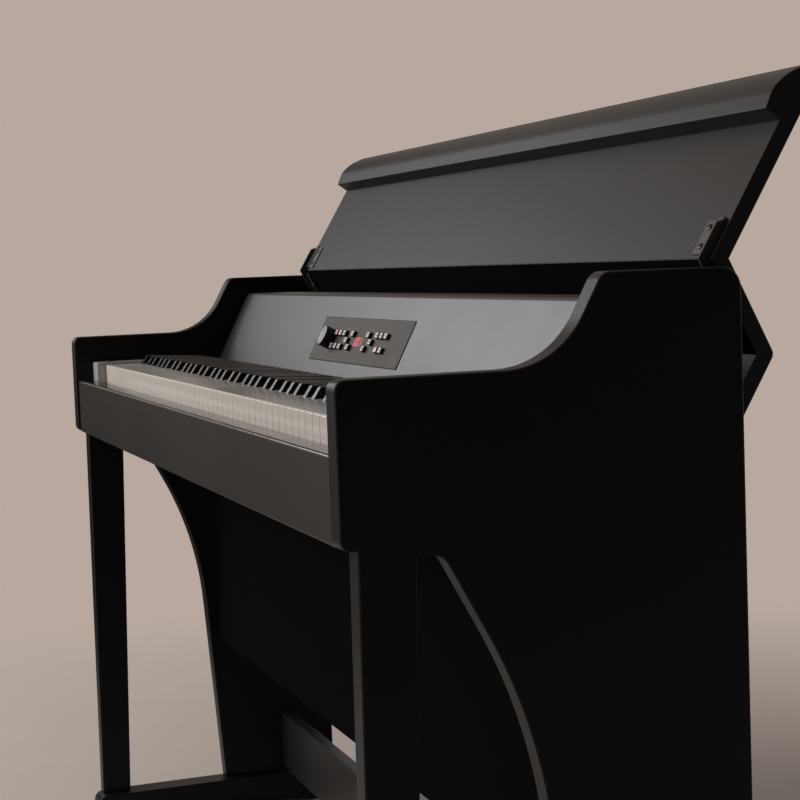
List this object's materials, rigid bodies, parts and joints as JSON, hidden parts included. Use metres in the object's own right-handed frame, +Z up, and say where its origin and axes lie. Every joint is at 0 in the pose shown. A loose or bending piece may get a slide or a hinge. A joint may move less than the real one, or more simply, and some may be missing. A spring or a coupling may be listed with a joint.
{
  "type": "digital piano",
  "caption": "Upright digital piano in a slim cabinet: full keyboard with dipping keys, one-piece folding lid on pivot arms, control panel with buttons and knob, and pedals.",
  "frame": {"origin": "on the floor, under the middle of the box of the piano with its lid open", "axes": "+X to the player's right along the keyboard, +Y to the back, +Z up; the keys face -Y"},
  "size_m": [1.346, 0.4868, 1.0222],
  "materials": {
    "cabinet_lacquer": "satin black lacquer on board",
    "lid_lacquer": "satin black lacquer on board",
    "fallboard": "satin black moulding",
    "white_key": "soft ivory white moulding",
    "black_key": "matt black moulding",
    "button_cap": "pale cap on a black stem",
    "pedal_metal": "polished pedal",
    "steel": "zinc plated",
    "arm_paint": "satin dark paint",
    "cheek_moulding": "pale grey satin moulding",
    "knob": "black, pale worn rim",
    "frame_metal": "mill finish",
    "rubber": "matt",
    "control_plate": "warm dark grey film",
    "display": "dark red filter",
    "circuit": "green board",
    "housing": "black moulding"
  },
  "bodies": {
    "cabinet": {"back_panel": "cabinet_lacquer", "cheek_blocks": "cheek_moulding", "control_plate": "control_plate", "display_window": "display", "fallboard": "fallboard", "floor_glides": "rubber", "foot_rails": "cabinet_lacquer", "key_frame": "frame_metal", "keybed": "cabinet_lacquer", "keyslip": "cabinet_lacquer", "knee_board": "cabinet_lacquer", "lid_bumpers": "rubber", "lid_pins": "steel", "lid_stops": "rubber", "main_board": "circuit", "pedal_box": "housing", "pedal_rail": "cabinet_lacquer", "rear_inner_board": "cabinet_lacquer", "side_panel_left": "cabinet_lacquer", "side_panel_right": "cabinet_lacquer", "speakers": "housing"},
    "lid": {"key_cover_board": "lid_lacquer", "slope_board": "lid_lacquer", "top_board": "lid_lacquer", "nose_rail": "lid_lacquer", "lid_arms": "arm_paint"},
    "keys_a": {"keys_a": "white_key"},
    "keys_a_sharp": {"keys_a_sharp": "black_key"},
    "keys_b": {"keys_b": "white_key"},
    "keys_c": {"keys_c": "white_key"},
    "keys_c_sharp": {"keys_c_sharp": "black_key"},
    "keys_d": {"keys_d": "white_key"},
    "keys_d_sharp": {"keys_d_sharp": "black_key"},
    "keys_e": {"keys_e": "white_key"},
    "keys_f": {"keys_f": "white_key"},
    "keys_f_sharp": {"keys_f_sharp": "black_key"},
    "keys_g": {"keys_g": "white_key"},
    "keys_g_sharp": {"keys_g_sharp": "black_key"},
    "pedal_damper": {"pedal_damper": "pedal_metal"},
    "pedal_soft": {"pedal_soft": "pedal_metal"},
    "pedal_sostenuto": {"pedal_sostenuto": "pedal_metal"},
    "volume_knob": {"volume_knob": "knob"},
    "button_left_lower_1": {"button_left_lower_1": "button_cap"},
    "button_left_lower_2": {"button_left_lower_2": "button_cap"},
    "button_left_lower_3": {"button_left_lower_3": "button_cap"},
    "button_left_lower_4": {"button_left_lower_4": "button_cap"},
    "button_left_middle_1": {"button_left_middle_1": "button_cap"},
    "button_left_upper_1": {"button_left_upper_1": "button_cap"},
    "button_left_upper_2": {"button_left_upper_2": "button_cap"},
    "button_left_upper_3": {"button_left_upper_3": "button_cap"},
    "button_left_upper_4": {"button_left_upper_4": "button_cap"},
    "button_right_lower_1": {"button_right_lower_1": "button_cap"},
    "button_right_lower_2": {"button_right_lower_2": "button_cap"},
    "button_right_lower_3": {"button_right_lower_3": "button_cap"},
    "button_right_middle_1": {"button_right_middle_1": "button_cap"},
    "button_right_upper_1": {"button_right_upper_1": "button_cap"},
    "button_right_upper_2": {"button_right_upper_2": "button_cap"},
    "button_right_upper_3": {"button_right_upper_3": "button_cap"},
    "button_right_upper_4": {"button_right_upper_4": "button_cap"}
  },
  "joints": [
    {"name": "lid_fold", "type": "hinge", "parent": "cabinet", "child": "lid", "pos_m": [0, 0.07327, 0.7497], "axis": [1, 0, 0], "range_deg": [0, 121]},
    {"name": "keys_a_dip", "type": "hinge", "parent": "cabinet", "child": "keys_a", "pos_m": [0, 0.01707, 0.688], "axis": [1, 0, 0], "range_deg": [0, 2.6], "stiffness_Nm_per_rad": 22, "springref_deg": -8.02},
    {"name": "keys_a_sharp_dip", "type": "hinge", "parent": "cabinet", "child": "keys_a_sharp", "pos_m": [0, 0.01707, 0.688], "axis": [1, 0, 0], "range_deg": [0, 2.6], "stiffness_Nm_per_rad": 12, "springref_deg": -8.02},
    {"name": "keys_b_dip", "type": "hinge", "parent": "cabinet", "child": "keys_b", "pos_m": [0, 0.01707, 0.688], "axis": [1, 0, 0], "range_deg": [0, 2.6], "stiffness_Nm_per_rad": 22, "springref_deg": -8.02},
    {"name": "keys_c_dip", "type": "hinge", "parent": "cabinet", "child": "keys_c", "pos_m": [0, 0.01707, 0.688], "axis": [1, 0, 0], "range_deg": [0, 2.6], "stiffness_Nm_per_rad": 22, "springref_deg": -8.02},
    {"name": "keys_c_sharp_dip", "type": "hinge", "parent": "cabinet", "child": "keys_c_sharp", "pos_m": [0, 0.01707, 0.688], "axis": [1, 0, 0], "range_deg": [0, 2.6], "stiffness_Nm_per_rad": 12, "springref_deg": -8.02},
    {"name": "keys_d_dip", "type": "hinge", "parent": "cabinet", "child": "keys_d", "pos_m": [0, 0.01707, 0.688], "axis": [1, 0, 0], "range_deg": [0, 2.6], "stiffness_Nm_per_rad": 22, "springref_deg": -8.02},
    {"name": "keys_d_sharp_dip", "type": "hinge", "parent": "cabinet", "child": "keys_d_sharp", "pos_m": [0, 0.01707, 0.688], "axis": [1, 0, 0], "range_deg": [0, 2.6], "stiffness_Nm_per_rad": 12, "springref_deg": -8.02},
    {"name": "keys_e_dip", "type": "hinge", "parent": "cabinet", "child": "keys_e", "pos_m": [0, 0.01707, 0.688], "axis": [1, 0, 0], "range_deg": [0, 2.6], "stiffness_Nm_per_rad": 22, "springref_deg": -8.02},
    {"name": "keys_f_dip", "type": "hinge", "parent": "cabinet", "child": "keys_f", "pos_m": [0, 0.01707, 0.688], "axis": [1, 0, 0], "range_deg": [0, 2.6], "stiffness_Nm_per_rad": 22, "springref_deg": -8.02},
    {"name": "keys_f_sharp_dip", "type": "hinge", "parent": "cabinet", "child": "keys_f_sharp", "pos_m": [0, 0.01707, 0.688], "axis": [1, 0, 0], "range_deg": [0, 2.6], "stiffness_Nm_per_rad": 12, "springref_deg": -8.02},
    {"name": "keys_g_dip", "type": "hinge", "parent": "cabinet", "child": "keys_g", "pos_m": [0, 0.01707, 0.688], "axis": [1, 0, 0], "range_deg": [0, 2.6], "stiffness_Nm_per_rad": 22, "springref_deg": -8.02},
    {"name": "keys_g_sharp_dip", "type": "hinge", "parent": "cabinet", "child": "keys_g_sharp", "pos_m": [0, 0.01707, 0.688], "axis": [1, 0, 0], "range_deg": [0, 2.6], "stiffness_Nm_per_rad": 12, "springref_deg": -8.02},
    {"name": "pedal_damper_dip", "type": "hinge", "parent": "cabinet", "child": "pedal_damper", "pos_m": [0, 0.04257, 0.086], "axis": [1, 0, 0], "range_deg": [0, 6], "stiffness_Nm_per_rad": 20, "springref_deg": -1.72},
    {"name": "pedal_soft_dip", "type": "hinge", "parent": "cabinet", "child": "pedal_soft", "pos_m": [0, 0.04257, 0.086], "axis": [1, 0, 0], "range_deg": [0, 6], "stiffness_Nm_per_rad": 20, "springref_deg": -1.72},
    {"name": "pedal_sostenuto_dip", "type": "hinge", "parent": "cabinet", "child": "pedal_sostenuto", "pos_m": [0, 0.04257, 0.086], "axis": [1, 0, 0], "range_deg": [0, 6], "stiffness_Nm_per_rad": 20, "springref_deg": -1.72},
    {"name": "volume_turn", "type": "hinge", "parent": "cabinet", "child": "volume_knob", "pos_m": [-0.108, -0.00049, 0.7599], "axis": [0, -0.8878, 0.4602], "range_deg": [-150, 150]},
    {"name": "button_left_lower_1_press", "type": "slide", "parent": "cabinet", "child": "button_left_lower_1", "axis": [0, 0.8878, -0.4602], "range_m": [0, 0.0012], "stiffness_N_per_m": 600, "springref_m": -0.0015},
    {"name": "button_left_lower_2_press", "type": "slide", "parent": "cabinet", "child": "button_left_lower_2", "axis": [0, 0.8878, -0.4602], "range_m": [0, 0.0012], "stiffness_N_per_m": 600, "springref_m": -0.0015},
    {"name": "button_left_lower_3_press", "type": "slide", "parent": "cabinet", "child": "button_left_lower_3", "axis": [0, 0.8878, -0.4602], "range_m": [0, 0.0012], "stiffness_N_per_m": 600, "springref_m": -0.0015},
    {"name": "button_left_lower_4_press", "type": "slide", "parent": "cabinet", "child": "button_left_lower_4", "axis": [0, 0.8878, -0.4602], "range_m": [0, 0.0012], "stiffness_N_per_m": 600, "springref_m": -0.0015},
    {"name": "button_left_middle_1_press", "type": "slide", "parent": "cabinet", "child": "button_left_middle_1", "axis": [0, 0.8878, -0.4602], "range_m": [0, 0.0012], "stiffness_N_per_m": 600, "springref_m": -0.0015},
    {"name": "button_left_upper_1_press", "type": "slide", "parent": "cabinet", "child": "button_left_upper_1", "axis": [0, 0.8878, -0.4602], "range_m": [0, 0.0012], "stiffness_N_per_m": 600, "springref_m": -0.0015},
    {"name": "button_left_upper_2_press", "type": "slide", "parent": "cabinet", "child": "button_left_upper_2", "axis": [0, 0.8878, -0.4602], "range_m": [0, 0.0012], "stiffness_N_per_m": 600, "springref_m": -0.0015},
    {"name": "button_left_upper_3_press", "type": "slide", "parent": "cabinet", "child": "button_left_upper_3", "axis": [0, 0.8878, -0.4602], "range_m": [0, 0.0012], "stiffness_N_per_m": 600, "springref_m": -0.0015},
    {"name": "button_left_upper_4_press", "type": "slide", "parent": "cabinet", "child": "button_left_upper_4", "axis": [0, 0.8878, -0.4602], "range_m": [0, 0.0012], "stiffness_N_per_m": 600, "springref_m": -0.0015},
    {"name": "button_right_lower_1_press", "type": "slide", "parent": "cabinet", "child": "button_right_lower_1", "axis": [0, 0.8878, -0.4602], "range_m": [0, 0.0012], "stiffness_N_per_m": 600, "springref_m": -0.0015},
    {"name": "button_right_lower_2_press", "type": "slide", "parent": "cabinet", "child": "button_right_lower_2", "axis": [0, 0.8878, -0.4602], "range_m": [0, 0.0012], "stiffness_N_per_m": 600, "springref_m": -0.0015},
    {"name": "button_right_lower_3_press", "type": "slide", "parent": "cabinet", "child": "button_right_lower_3", "axis": [0, 0.8878, -0.4602], "range_m": [0, 0.0012], "stiffness_N_per_m": 600, "springref_m": -0.0015},
    {"name": "button_right_middle_1_press", "type": "slide", "parent": "cabinet", "child": "button_right_middle_1", "axis": [0, 0.8878, -0.4602], "range_m": [0, 0.0012], "stiffness_N_per_m": 600, "springref_m": -0.0015},
    {"name": "button_right_upper_1_press", "type": "slide", "parent": "cabinet", "child": "button_right_upper_1", "axis": [0, 0.8878, -0.4602], "range_m": [0, 0.0012], "stiffness_N_per_m": 600, "springref_m": -0.0015},
    {"name": "button_right_upper_2_press", "type": "slide", "parent": "cabinet", "child": "button_right_upper_2", "axis": [0, 0.8878, -0.4602], "range_m": [0, 0.0012], "stiffness_N_per_m": 600, "springref_m": -0.0015},
    {"name": "button_right_upper_3_press", "type": "slide", "parent": "cabinet", "child": "button_right_upper_3", "axis": [0, 0.8878, -0.4602], "range_m": [0, 0.0012], "stiffness_N_per_m": 600, "springref_m": -0.0015},
    {"name": "button_right_upper_4_press", "type": "slide", "parent": "cabinet", "child": "button_right_upper_4", "axis": [0, 0.8878, -0.4602], "range_m": [0, 0.0012], "stiffness_N_per_m": 600, "springref_m": -0.0015}
  ]
}
